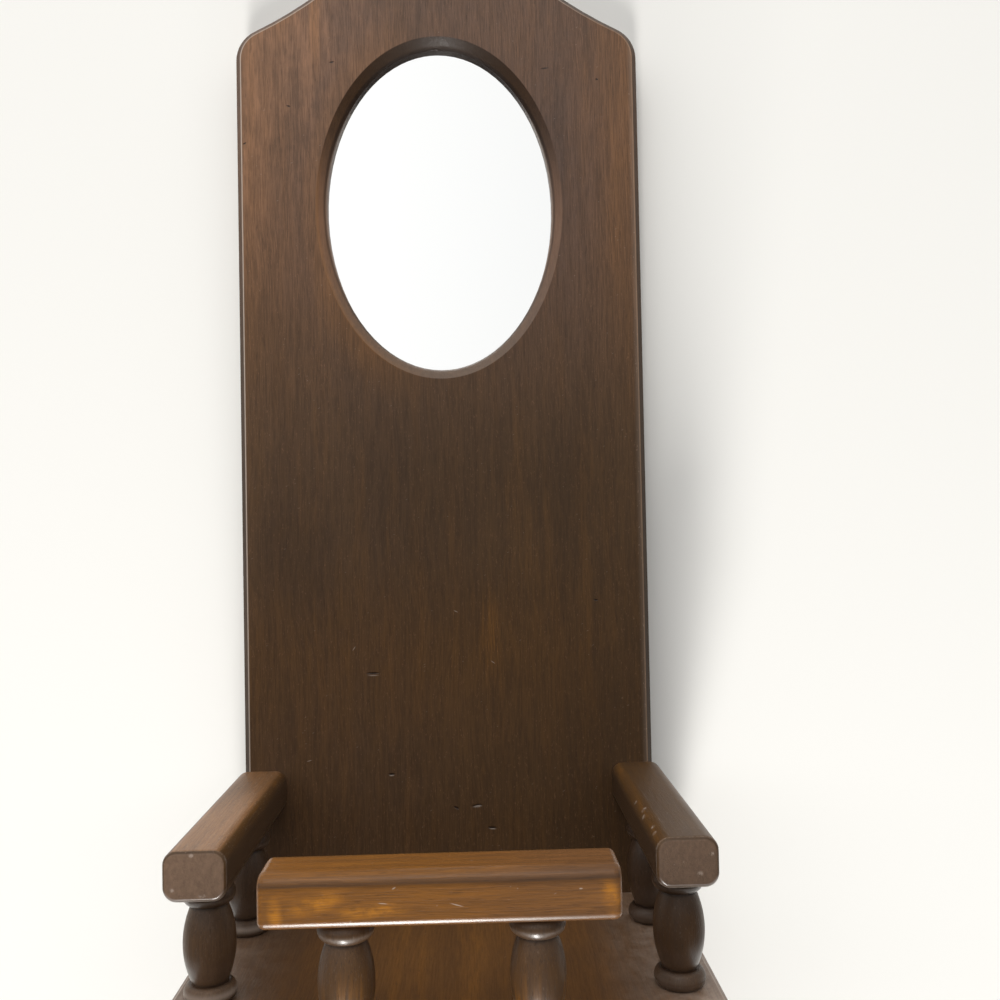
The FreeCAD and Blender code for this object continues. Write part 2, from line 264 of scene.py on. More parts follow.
def make_grain(name):
    """Fibres, figure, flames, mottling, pores and flecks of wood whose grain runs along Z."""
    tree, given, result = new_group(
        name,
        (("Vector", "NodeSocketVector", None),),
        ("Fibre", "Figure", "Flame", "Mottle", "Pores", "Flecks"),
    )
    vector = given["Vector"]
    bent = noise(tree, stretched(tree, vector, 0.018, 0.06), detail=1.0)
    sway = times(tree, bent, 0.004)
    swayed = vectors(tree, "ADD", vector, sway)
    apart = vectors(tree, "ADD", swayed, (0.31, 0.17, 0.23))
    fine = noise(tree, stretched(tree, swayed, 0.00042, 0.010), detail=3.0, roughness=0.65)
    coarse = noise(tree, stretched(tree, swayed, 0.0018, 0.03), detail=3.0, roughness=0.55)
    fibre = reckon(tree, "ADD", times(tree, fine, 0.65), times(tree, coarse, 0.35))
    figure = noise(tree, stretched(tree, swayed, 0.013, 0.10), 4.0, roughness=0.6, distortion=0.2)
    flame = noise(tree, stretched(tree, apart, 0.006, 0.08), 4.0, roughness=0.65, distortion=0.2)
    mottle = noise(tree, stretched(tree, apart, 0.0045, 0.0060), detail=5.0, roughness=0.65)
    pores = noise(tree, stretched(tree, vector, 0.00030, 0.0040), detail=1.0)
    flecks = noise(tree, stretched(tree, vector, 0.00045, 0.0013), detail=2.0, roughness=0.7)
    tree.links.new(ramp(tree, fibre, 0.36, 0.64), result["Fibre"])
    tree.links.new(ramp(tree, figure, 0.34, 0.66), result["Figure"])
    tree.links.new(ramp(tree, flame, 0.45, 0.70), result["Flame"])
    tree.links.new(ramp(tree, mottle, 0.36, 0.64), result["Mottle"])
    tree.links.new(ramp(tree, pores, 0.62, 0.74), result["Pores"])
    tree.links.new(ramp(tree, flecks, 0.58, 0.76), result["Flecks"])
    return tree


def make_mark(name):
    """A soft-edged mark at one place, turned about the way to the front."""
    tree, given, result = new_group(
        name,
        (
            ("Vector", "NodeSocketVector", None),
            ("Centre", "NodeSocketVector", None),
            ("Half Size", "NodeSocketVector", None),
            ("Turn", "NodeSocketFloat", 0.0),
            ("Core", "NodeSocketFloat", 0.5),
        ),
        ("Mask",),
    )
    offset = vectors(tree, "SUBTRACT", given["Vector"], given["Centre"])
    turned = place(
        tree,
        "ShaderNodeVectorRotate",
        {"Vector": offset, "Angle": given["Turn"], "Axis": (0.0, 1.0, 0.0)},
        rotation_type="AXIS_ANGLE",
    ).outputs[0]
    reach = vectors(tree, "LENGTH", vectors(tree, "DIVIDE", turned, given["Half Size"]))
    tree.links.new(ramp(tree, reach, 1.0, given["Core"]), result["Mask"])
    return tree


def make_scuffs(name):
    """Short thin strokes in two directions and tiny dents, scattered over the surface."""
    vector_in = ("Vector", "NodeSocketVector", None)
    tree, given, result = new_group(name, (vector_in,), ("Strokes", "Dents"))

    def scattered(spread, channel, share, outer, inner):
        """A soft dot in the middle of some cells, those whose own colour is above a share."""
        inputs = {"Vector": spread, "Scale": 1.0, "Randomness": 1.0}
        cells = place(tree, "ShaderNodeTexVoronoi", inputs).outputs
        chosen = place(tree, "ShaderNodeSeparateColor", {0: cells["Color"]}).outputs[channel]
        chosen = reckon(tree, "GREATER_THAN", chosen, share)
        return times(tree, ramp(tree, cells["Distance"], outer, inner), chosen)

    strokes = 0.0
    for turn, size in ((radians(28), 0.011), (radians(-47), 0.014)):
        turned = place(
            tree,
            "ShaderNodeVectorRotate",
            {"Vector": given["Vector"], "Rotation": (turn, turn * 0.6, turn)},
            rotation_type="EULER_XYZ",
        ).outputs[0]
        spread = vectors(tree, "MULTIPLY", turned, (1 / size, 9 / size, 9 / size))
        strokes = reckon(tree, "MAXIMUM", strokes, scattered(spread, 0, 0.93, 0.14, 0.06))
    spread = stretched(tree, given["Vector"], 0.008, 0.008)
    tree.links.new(strokes, result["Strokes"])
    tree.links.new(scattered(spread, 1, 0.8, 0.075, 0.03), result["Dents"])
    return tree


def group(tree, name, make, inputs):
    """Places a shared group in a material and gives its outputs."""
    return place(tree, "ShaderNodeGroup", inputs, node_tree=shared(name, make)).outputs


def spots(tree, vector, listed, core):
    """One mask for all the placed marks of a list."""
    mask = 0.0
    for centre, half_size, turn in listed:
        inputs = {"Vector": vector, "Centre": centre, "Half Size": half_size, "Turn": radians(turn)}
        spot = group(tree, "Placed Mark", make_mark, {**inputs, "Core": core})["Mask"]
        mask = reckon(tree, "MAXIMUM", mask, spot)
    return mask


def marks(tree, vector, face_y, listed, core):
    """One mask for the listed marks of a face that looks to the front."""
    placed = [
        ((across, face_y, up), (half_across, MARK_REACH, half_up), turn)
        for across, up, half_across, half_up, turn in listed
    ]
    return spots(tree, vector, placed, core)


class Surface:
    """A new material's tree with the coordinates and the normal that its layers use."""

    def __init__(self, name, turn=GRAIN_UP):
        self.material = bpy.data.materials.new(name)
        self.material.use_nodes = True
        self.tree = self.material.node_tree
        self.tree.nodes.clear()
        source = place(self.tree, "ShaderNodeTexCoord").outputs
        self.vector = source["Object"]
        self.at = place(self.tree, "ShaderNodeSeparateXYZ", {0: source["Object"]}).outputs
        self.facing = place(self.tree, "ShaderNodeSeparateXYZ", {0: source["Normal"]}).outputs
        mapped = {"Vector": source["Object"], "Rotation": turn}
        self.turned = place(self.tree, "ShaderNodeMapping", mapped).outputs[0]

    def grain(self):
        """The grain of the wood, along the turned coordinates."""
        return group(self.tree, "Wood Grain", make_grain, {"Vector": self.turned})

    def scuffs(self):
        """Scuffs all over the surface."""
        return group(self.tree, "Scuffs", make_scuffs, {"Vector": self.vector})

    def finish(self, inputs, height, depth):
        """The shader at the end, with a bump of that depth in metres."""
        bump = place(self.tree, "ShaderNodeBump", {"Distance": depth, "Height": height})
        shader = place(self.tree, "ShaderNodeBsdfPrincipled", {**inputs, "Normal": bump.outputs[0]})
        place(self.tree, "ShaderNodeOutputMaterial", {"Surface": shader.outputs[0]})
        return self.material


def stained(surface, colour, deep, grain, fibre=0.35, figure=0.28, pores=0.5):
    """Stained wood colour: fibres, figure and pores darken it, each by its own share."""
    tree = surface.tree
    colour = tint(tree, scaled(tree, grain["Fibre"], -fibre, fibre), colour, deep)
    colour = tint(tree, scaled(tree, grain["Figure"], -figure, figure), colour, deep)
    return tint(tree, times(tree, grain["Pores"], pores), colour, deep)


def from_oval(surface, half):
    """How far out from the oval's centre: 1 on an oval of that half width and half height."""
    tree = surface.tree
    offset = vectors(tree, "SUBTRACT", surface.vector, tuple(oval_centre))
    share = vectors(tree, "MULTIPLY", offset, (1 / half[0], 0.0, 1 / half[1]))
    return vectors(tree, "LENGTH", share)


def up_oval(share):
    """A height on the oval's rim, as a share of its half height above the centre."""
    return oval_centre.z + share * RIM_HALF[1]


def varnished(surface, weight, ior):
    """A thicker coat of varnish along the edges that look down, where it ran together."""
    pooled = ramp(surface.tree, surface.facing["Z"], -0.04, -0.26, 0.0, weight)
    return {"Coat Weight": pooled, "Coat Roughness": 0.28, "Coat IOR": ior}


def wear_in(names, material):
    """Gives the named pieces their finish."""
    for name in names:
        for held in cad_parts[name].material_slots:
            held.material = material


class WoodSettings(bpy.types.PropertyGroup):
    """Colours of the stained wood, some of them also painted as light and shade."""

    # Stain with painted light and shade: lighter up high, darker low where the gallery shades it.
    board_high: bpy.props.FloatVectorProperty(
        name="Board, upper", description="Stain on the upper part of the backboard",
        subtype="COLOR", size=3, min=0, max=1, default=(0.168, 0.082, 0.041))
    board_low: bpy.props.FloatVectorProperty(
        name="Board, lower", description="Stain on the lower part of the backboard",
        subtype="COLOR", size=3, min=0, max=1, default=(0.092, 0.048, 0.019))
    # Faded stain and flecks; also painted light on the board's upper left.
    faded_and_lit: bpy.props.FloatVectorProperty(
        name="Board, faded", description="Stain that has faded on the upper left of the backboard",
        subtype="COLOR", size=3, min=0, max=1, default=(0.410, 0.212, 0.120))
    dusk: bpy.props.FloatVectorProperty(
        name="Board, dull", description="Dull bands of the backboard's figure",
        subtype="COLOR", size=3, min=0, max=1, default=(0.120, 0.070, 0.049))
    # Also painted shade on the board's moulded bevel.
    board_deep: bpy.props.FloatVectorProperty(
        name="Board, deep", description="Stain held by the board's pores, grooves and dark grain",
        subtype="COLOR", size=3, min=0, max=1, default=(0.025, 0.013, 0.006))
    rail: bpy.props.FloatVectorProperty(
        name="Front rail", description="Stain on the front rail",
        subtype="COLOR", size=3, min=0, max=1, default=(0.290, 0.117, 0.024))
    # Painted light: the left arm's colour is lighter than the right's, as light falls from the
    # left.
    arm_left: bpy.props.FloatVectorProperty(
        name="Left arm", description="Stain on the left arm rail, which has faded more",
        subtype="COLOR", size=3, min=0, max=1, default=(0.355, 0.174, 0.072))
    arm_right: bpy.props.FloatVectorProperty(
        name="Right arm", description="Stain on the right arm rail",
        subtype="COLOR", size=3, min=0, max=1, default=(0.098, 0.046, 0.012))
    end_grain: bpy.props.FloatVectorProperty(
        name="End grain", description="Stain on the sawn ends of the rails",
        subtype="COLOR", size=3, min=0, max=1, default=(0.250, 0.152, 0.094))
    spindle: bpy.props.FloatVectorProperty(
        name="Spindles", description="Stain on the turned spindles",
        subtype="COLOR", size=3, min=0, max=1, default=(0.106, 0.053, 0.021))
    shelf: bpy.props.FloatVectorProperty(
        name="Shelf", description="Stain on the shelf",
        subtype="COLOR", size=3, min=0, max=1, default=(0.150, 0.068, 0.022))
    # Also painted shade on the arms' sides, under the front rail's upper edge and on the spindles.
    deep: bpy.props.FloatVectorProperty(
        name="Deep stain", description="Stain held by pores and dark grain of the gallery",
        subtype="COLOR", size=3, min=0, max=1, default=(0.034, 0.020, 0.013))
    amber: bpy.props.FloatVectorProperty(
        name="Amber", description="Wood showing where the stain has worn thin",
        subtype="COLOR", size=3, min=0, max=1, default=(0.480, 0.190, 0.022))
    # Also used for painted highlights and sheen.
    worn_edge_and_highlight: bpy.props.FloatVectorProperty(
        name="Worn edge", description="Rubbed line along the edges",
        subtype="COLOR", size=3, min=0, max=1, default=(0.520, 0.430, 0.360))


class FittingSettings(bpy.types.PropertyGroup):
    """Colours of the glass and of what is fitted behind the board."""

    silver: bpy.props.FloatVectorProperty(
        name="Mirror", description="Tint of the silvered glass",
        subtype="COLOR", size=3, min=0, max=1, default=(0.975, 0.980, 0.970))
    hardboard: bpy.props.FloatVectorProperty(
        name="Mirror back", description="Colour of the hardboard behind the glass",
        subtype="COLOR", size=3, min=0, max=1, default=(0.180, 0.095, 0.045))
    zinc: bpy.props.FloatVectorProperty(
        name="Zinc", description="Colour of the plated turn buttons and screws",
        subtype="COLOR", size=3, min=0, max=1, default=(0.620, 0.600, 0.540))


class StageSettings(bpy.types.PropertyGroup):
    """The wall, the floor, the light and the camera."""

    wall: bpy.props.FloatVectorProperty(
        name="Wall", description="Colour of the wall",
        subtype="COLOR", size=3, min=0, max=1, default=(0.950, 0.940, 0.905))
    floor: bpy.props.FloatVectorProperty(
        name="Floor", description="Colour of the floor",
        subtype="COLOR", size=3, min=0, max=1, default=(0.820, 0.815, 0.800))
    floor_drop: bpy.props.FloatProperty(
        name="Floor drop", description="How far the floor lies below the board's lower end",
        subtype="DISTANCE", unit="LENGTH", min=0.05, default=1.7)
    ambient: bpy.props.FloatProperty(
        name="Ambient", description="Strength of the soft light from above eye level",
        subtype="FACTOR", min=0, max=1, default=1.0)
    dim: bpy.props.FloatProperty(
        name="Dim", description="Strength of the light from below eye level",
        subtype="FACTOR", min=0, max=1, default=0.06)
    lens: bpy.props.FloatProperty(
        name="Lens", description="Focal length of the camera",
        subtype="DISTANCE_CAMERA", min=10, default=36.0)


class WallMirrorSettings(bpy.types.PropertyGroup):
    """All the settings of the wall mirror."""

    wood: bpy.props.PointerProperty(
        name="Wood", description="Colours of the stained wood", type=WoodSettings)
    fittings: bpy.props.PointerProperty(
        name="Fittings", description="Colours of the glass and the fittings", type=FittingSettings)
    stage: bpy.props.PointerProperty(
        name="Stage", description="Wall, floor, light and camera", type=StageSettings)


class FinishBackboard(bpy.types.Operator):
    """Stains and wears the backboard with its moulded edge and oval rim, and paints light and shade
    on it
    """

    bl_idname = "wall_mirror.finish_backboard"
    bl_label = "Finish Backboard"

    def execute(self, context):
        wood = context.scene.wall_mirror.wood
        surface = Surface("board_wood_finish", GRAIN_UP)
        tree, at, facing = surface.tree, surface.at, surface.facing
        grain, scuffs = surface.grain(), surface.scuffs()
        front = times(tree, facing["Y"], -1.0)
        reach = from_oval(surface, RIM_HALF)

        # Painted light and shade: the board is painted lighter towards the top, darker low down
        # where the gallery shades it, and lit at the upper left. Its stain is duller round the
        # oval, and warm along the sides, beside the oval, in streaks and in a glow low down.
        upper = ramp(tree, at["Z"], -0.182, -0.038)
        colour = tint(tree, upper, wood.board_low, wood.board_high)
        faded_and_lit = times(tree, ramp(tree, at["X"], 0.000, -0.064), ramp(tree, at["Z"], -0.125, -0.035))
        colour = tint(tree, times(tree, faded_and_lit, 0.9), colour, wood.faded_and_lit)
        dull = scaled(tree, grain["Figure"], -0.24, scaled(tree, grain["Mottle"], -0.2, 0.68))
        low_dull = ramp(tree, at["X"], 0.030, -0.040, 0.10, 0.42)
        dull = times(tree, dull, reckon(tree, "MAXIMUM", upper, low_dull))
        inside = ramp(tree, reckon(tree, "ABSOLUTE", at["X"]), 0.070, 0.046)
        inside = times(tree, inside, ramp(tree, at["Z"], -0.010, -0.070))
        dull = scaled(tree, times(tree, inside, upper), 0.50, dull, clamp=True)
        colour = tint(tree, dull, colour, wood.dusk)
        left = times(tree, ramp(tree, at["X"], -0.030, -0.070), ramp(tree, at["Z"], -0.20, -0.04))
        right = times(tree, ramp(tree, at["X"], 0.050, 0.070), ramp(tree, at["Z"], -0.17, -0.06))
        near_oval = times(tree, ramp(tree, reach, 1.25, 1.0), ramp(tree, at["X"], 0.0, -0.03))
        warm = reckon(tree, "MAXIMUM", reckon(tree, "MAXIMUM", left, right), near_oval)
        warm = scaled(tree, warm, 0.14, times(tree, grain["Flame"], 0.05))
        streak = marks(tree, surface.vector, board_low.y, BOARD_STREAKS, 0.1)
        warm = scaled(tree, streak, scaled(tree, grain["Fibre"], 0.12, 0.06), warm)
        lower_glow = times(tree, band(tree, at["Z"], -0.285, -0.237, -0.195), 0.062)
        warm = scaled(tree, lower_glow, ramp(tree, at["X"], 0.085, 0.015), warm)
        colour = tint(tree, warm, colour, wood.amber)
        shaded = times(tree, ramp(tree, at["X"], 0.020, 0.060), ramp(tree, at["Z"], -0.220, -0.270))
        colour = tint(tree, times(tree, shaded, 0.3), colour, wood.board_deep)
        colour = stained(surface, colour, wood.board_deep, grain, 0.46, 0.12, 0.30)
        flecks = times(tree, grain["Flecks"], ramp(tree, upper, 0.0, 1.0, 0.20, 0.13))
        colour = tint(tree, flecks, colour, wood.faded_and_lit)

        # The moulded edge: painted shade darkens the bevel, and a painted highlight pales the line
        # where it meets the face.
        outside = ramp(tree, reach, 1.04, 1.08)
        bevel = times(tree, ramp(tree, front, 0.86, 0.74), outside)
        colour = tint(tree, times(tree, bevel, 0.6), colour, wood.board_deep)
        arris = times(tree, ramp(tree, front, 0.74, 0.84), ramp(tree, front, 1.0, 0.985))
        arris = times(tree, arris, outside, ramp(tree, front, 0.999, 0.99))
        arris = times(tree, arris, ramp(tree, facing["Z"], 0.1, 0.4, 1.0, 0.45))
        lightened = times(tree, arris, scaled(tree, grain["Flecks"], 0.2, 0.7))
        lightened = times(tree, lightened, ramp(tree, at["X"], 0.030, 0.070, 1.0, 0.5))
        stained_share = ramp(tree, at["X"], 0.030, 0.070, 0.0, 0.4)
        pale = tint(tree, stained_share, wood.worn_edge_and_highlight, wood.amber)
        colour = tint(tree, lightened, colour, pale)
        brink = times(tree, ramp(tree, at["X"], 0.0690, 0.0712), ramp(tree, front, 0.9, 0.98))
        chips = scaled(tree, ramp(tree, grain["Flecks"], 0.5, 1.0), 0.5, 0.12)
        colour = tint(tree, times(tree, brink, chips), colour, wood.worn_edge_and_highlight)

        # The oval rim holds dark stain, most of it at the top; a pale line next to the glass is a
        # painted reflection.
        rim = ramp(tree, reach, 1.004, 0.996)
        held = ramp(tree, at["Z"], up_oval(-0.2), up_oval(0.9), 0.05, 0.9)
        colour = tint(tree, times(tree, rim, held), colour, wood.board_deep)
        bare = ramp(tree, at["Z"], up_oval(0.5), up_oval(-0.1), 0.0, 0.30)
        bare = times(tree, bare, ramp(tree, at["Z"], up_oval(-1.0), up_oval(0.0)))
        bare = times(tree, bare, ramp(tree, at["X"], 0.010, 0.045, 1.0, 0.75))
        colour = tint(tree, times(tree, rim, bare), colour, wood.faded_and_lit)
        # Painted sheen: the lower part of the rim is painted paler.
        rim_sheen_painted = ramp(tree, at["Z"], up_oval(0.0), up_oval(-1.0), 0.0, 0.12)
        colour = tint(tree, times(tree, rim, rim_sheen_painted), colour, wood.worn_edge_and_highlight)
        lip = times(tree, ramp(tree, reach, 0.955, 0.945), held)
        colour = tint(tree, times(tree, lip, 0.7), colour, GRIME)
        dark_line = times(tree, band(tree, reach, 0.926, 0.936, 0.950), 0.5)
        colour = tint(tree, dark_line, colour, GRIME)
        reflection_line_painted = times(tree, band(tree, reach, 0.917, 0.923, 0.931), 0.35)
        colour = tint(tree, reflection_line_painted, colour, wood.worn_edge_and_highlight)
        handled = band(tree, reach, 0.970, 0.995, 1.014)
        handled = times(tree, handled, ramp(tree, at["X"], 0.0, -0.030))
        handled = times(tree, handled, ramp(tree, at["Z"], up_oval(0.4), up_oval(0.0)))
        colour = tint(tree, times(tree, handled, 0.14), colour, wood.amber)

        # Nicks, scratches and scuffs on the face.
        face = ramp(tree, front, 0.9, 0.98)
        nicks = marks(tree, surface.vector, board_low.y, BOARD_NICKS, 0.35)
        colour = tint(tree, times(tree, nicks, 0.85), colour, GRIME)
        scratches = marks(tree, surface.vector, board_low.y, BOARD_SCRATCHES, 0.3)
        scratches = reckon(tree, "MAXIMUM", scratches, times(tree, scuffs["Strokes"], 0.35))
        scratches = times(tree, scratches, times(tree, face, 0.45))
        colour = tint(tree, scratches, colour, wood.worn_edge_and_highlight)

        # The back is only wiped with stain.
        behind = ramp(tree, facing["Y"], 0.3, 0.7)
        wiped = tint(tree, grain["Fibre"], WIPED_DARK, WIPED_LIGHT)
        colour = tint(tree, behind, colour, wiped)

        rough = scaled(tree, grain["Fibre"], -0.08, 0.44)
        rough = scaled(tree, behind, 0.25, rough)
        dips = reckon(tree, "ADD", times(tree, nicks, 4.0), scuffs["Dents"])
        dips = scaled(tree, grain["Pores"], 0.4, dips)
        relief = reckon(tree, "SUBTRACT", times(tree, grain["Fibre"], 0.4), dips)
        gloss = band(tree, reach, 0.955, 0.980, 1.002)
        gloss = times(tree, gloss, ramp(tree, facing["Z"], -0.35, -0.6))
        gloss = times(tree, gloss, scaled(tree, grain["Flecks"], 0.4, 0.02))
        inputs = {
            "Base Color": colour,
            "Roughness": rough,
            "Specular IOR Level": 0.28,
            "Coat Weight": gloss,
            "Coat Roughness": 0.25,
        }
        wear_in(("backboard",), surface.finish(inputs, relief, WOOD_DEPTH))
        return {"FINISHED"}


class FinishShelf(bpy.types.Operator):
    """Stains and wears the shelf, with streaks from front to back, and dusty ends with a painted
    sheen
    """

    bl_idname = "wall_mirror.finish_shelf"
    bl_label = "Finish Shelf"

    def execute(self, context):
        wood = context.scene.wall_mirror.wood
        surface = Surface("shelf_wood_finish", GRAIN_TO_FRONT)
        tree, at, facing = surface.tree, surface.at, surface.facing
        grain, scuffs = surface.grain(), surface.scuffs()
        aside = reckon(tree, "ABSOLUTE", at["X"])
        middle = ramp(tree, aside, 0.055, 0.010)
        glow = times(tree, middle, scaled(tree, grain["Flame"], 0.16, 0.09))
        colour = tint(tree, glow, wood.shelf, wood.amber)
        shaded = ramp(tree, at["X"], -0.030, -0.060, 0.0, 0.22)
        colour = tint(tree, shaded, colour, wood.deep)
        colour = stained(surface, colour, wood.deep, grain)
        colour = tint(tree, times(tree, grain["Flecks"], 0.16), colour, wood.faded_and_lit)

        # Dust and a painted sheen pale the shelf towards its two ends, most at the right.
        dust_and_sheen = noise(tree, stretched(tree, surface.vector, 0.006, 0.006), 6.0, roughness=0.75)
        dust_and_sheen = times(tree, ramp(tree, dust_and_sheen, 0.15, 0.85), ramp(tree, aside, 0.040, 0.074, 0.0, 0.40))
        dust_and_sheen = times(tree, dust_and_sheen, ramp(tree, facing["Z"], 0.5, 0.9))
        dust_and_sheen = times(tree, dust_and_sheen, ramp(tree, at["X"], -0.02, 0.02, 0.60, 1.25))
        colour = tint(tree, dust_and_sheen, colour, wood.worn_edge_and_highlight)
        flat = reckon(tree, "ABSOLUTE", facing["Z"])
        arris = band(tree, flat, 0.70, 0.90, 0.99)
        lightened = times(tree, arris, scaled(tree, grain["Flecks"], 0.3, 0.4))
        colour = tint(tree, lightened, colour, wood.worn_edge_and_highlight)
        strokes = times(tree, scuffs["Strokes"], 0.2)
        colour = tint(tree, strokes, colour, wood.worn_edge_and_highlight)
        rough = scaled(tree, grain["Fibre"], -0.1, 0.46)
        rough = scaled(tree, dust_and_sheen, 0.4, rough)
        relief = reckon(tree, "SUBTRACT", times(tree, grain["Fibre"], 0.5), scuffs["Dents"])
        inputs = {"Base Color": colour, "Roughness": rough, "Specular IOR Level": 0.4}
        wear_in(("shelf",), surface.finish(inputs, relief, WOOD_DEPTH))
        return {"FINISHED"}


class FinishArmRails(bpy.types.Operator):
    """Stains and wears the two arm rails, with end grain at their fronts, and paints light, shade
    and highlights on them
    """

    bl_idname = "wall_mirror.finish_arm_rails"
    bl_label = "Finish Arm Rails"

    def execute(self, context):
        wood = context.scene.wall_mirror.wood
        surface = Surface("arm_wood_finish", GRAIN_TO_FRONT)
        tree, at, facing = surface.tree, surface.at, surface.facing
        grain, scuffs = surface.grain(), surface.scuffs()
        side = reckon(tree, "SIGN", at["X"])
        # Painted light and shade: the left arm's top is painted lighter, less so towards the back,
        # and the right arm darker.
        faded_and_lit = times(tree, ramp(tree, side, 1.0, -1.0), ramp(tree, facing["Z"], 0.80, 0.97))
        colour = tint(tree, faded_and_lit, wood.arm_right, wood.arm_left)
        back_less_lit = times(tree, faded_and_lit, ramp(tree, at["Y"], -0.070, -0.035, 0.0, 0.45))
        colour = tint(tree, back_less_lit, colour, wood.arm_right)
        colour = stained(surface, colour, wood.deep, grain)
        speckle = times(tree, grain["Flecks"], ramp(tree, side, -1.0, 1.0, 0.36, 0.15))
        colour = tint(tree, speckle, colour, wood.worn_edge_and_highlight)

        # Amber along the inner upper edge. Painted shade darkens the sides, most on the right,
        # and painted light pales them a little on the left.
        inward = times(tree, times(tree, facing["X"], side), -1.0)
        edge = times(tree, band(tree, inward, 0.1, 0.5, 0.95), ramp(tree, facing["Z"], 0.1, 0.5))
        patchy = times(tree, grain["Flame"], ramp(tree, grain["Mottle"], 0.0, 1.0, 0.05, 0.30))
        amber = times(tree, edge, reckon(tree, "ADD", patchy, 0.03))
        colour = tint(tree, amber, colour, wood.amber)
        shade_on_sides = ramp(tree, facing["Z"], 0.60, 0.0)
        shade_on_sides = times(tree, shade_on_sides, ramp(tree, facing["Y"], -0.8, -0.3))
        shade_on_sides = times(tree, shade_on_sides, ramp(tree, side, -1.0, 1.0, 0.35, 0.60))
        colour = tint(tree, shade_on_sides, colour, wood.deep)
        lit_paler = times(tree, shade_on_sides, ramp(tree, side, 1.0, -1.0, 0.0, 0.07))
        colour = tint(tree, lit_paler, colour, wood.worn_edge_and_highlight)

        # The sawn end, with a dark outline, and painted highlights on its rounded corners and lower
        # edge.
        front = times(tree, facing["Y"], -1.0)
        end = ramp(tree, front, 0.80, 0.95)
        mottle = noise(tree, stretched(tree, surface.vector, 0.0009, 0.0016), 5.0, roughness=0.75)
        sawn = ramp(tree, mottle, 0.25, 0.75, 0.50, 0.90)
        sawn = tint(tree, sawn, wood.deep, wood.end_grain)
        sawn = tint(tree, ramp(tree, side, -1.0, 1.0, 0.06, 0.36), sawn, wood.deep)
        colour = tint(tree, end, colour, sawn)
        outline = band(tree, front, 0.55, 0.74, 0.92)
        outline = times(tree, outline, ramp(tree, facing["Z"], -0.3, 0.3, 0.05, 0.30))
        outline = times(tree, outline, ramp(tree, side, -1.0, 1.0, 0.3, 1.0))
        colour = tint(tree, outline, colour, wood.deep)
        corner = times(tree, band(tree, front, 0.15, 0.40, 0.68), ramp(tree, mottle, 0.35, 0.6))
        colour = tint(tree, times(tree, corner, 0.18), colour, wood.worn_edge_and_highlight)
        lower = band(tree, front, 0.30, 0.60, 0.95)
        lower = times(tree, lower, ramp(tree, facing["Z"], -0.25, -0.55))
        lower = times(tree, lower, ramp(tree, mottle, 0.35, 0.6, 0.35, 0.9))
        colour = tint(tree, lower, colour, wood.worn_edge_and_highlight)
        strokes = times(tree, scuffs["Strokes"], 0.35)
        colour = tint(tree, strokes, colour, wood.worn_edge_and_highlight)
        nicks = spots(tree, surface.vector, ARM_NICKS, 0.6)
        colour = tint(tree, times(tree, nicks, 0.9), colour, GRIME)
        chips = spots(tree, surface.vector, ARM_CHIPS, 0.2)
        chips = times(tree, chips, ramp(tree, mottle, 0.38, 0.58))
        colour = tint(tree, times(tree, chips, 0.55), colour, wood.worn_edge_and_highlight)

        rough = scaled(tree, grain["Flecks"], 0.12, 0.44)
        rough = scaled(tree, end, 0.1, rough)
        relief = reckon(tree, "SUBTRACT", times(tree, grain["Fibre"], 0.4), scuffs["Dents"])
        relief = scaled(tree, grain["Flecks"], 1.0, relief)
        relief = scaled(tree, times(tree, mottle, end), 0.5, relief)
        inputs = {"Base Color": colour, "Roughness": rough, "Specular IOR Level": 0.32}
        inputs.update(varnished(surface, 0.9, 2.0))
        wear_in(ARMS, surface.finish(inputs, relief, ARM_DEPTH))
        return {"FINISHED"}


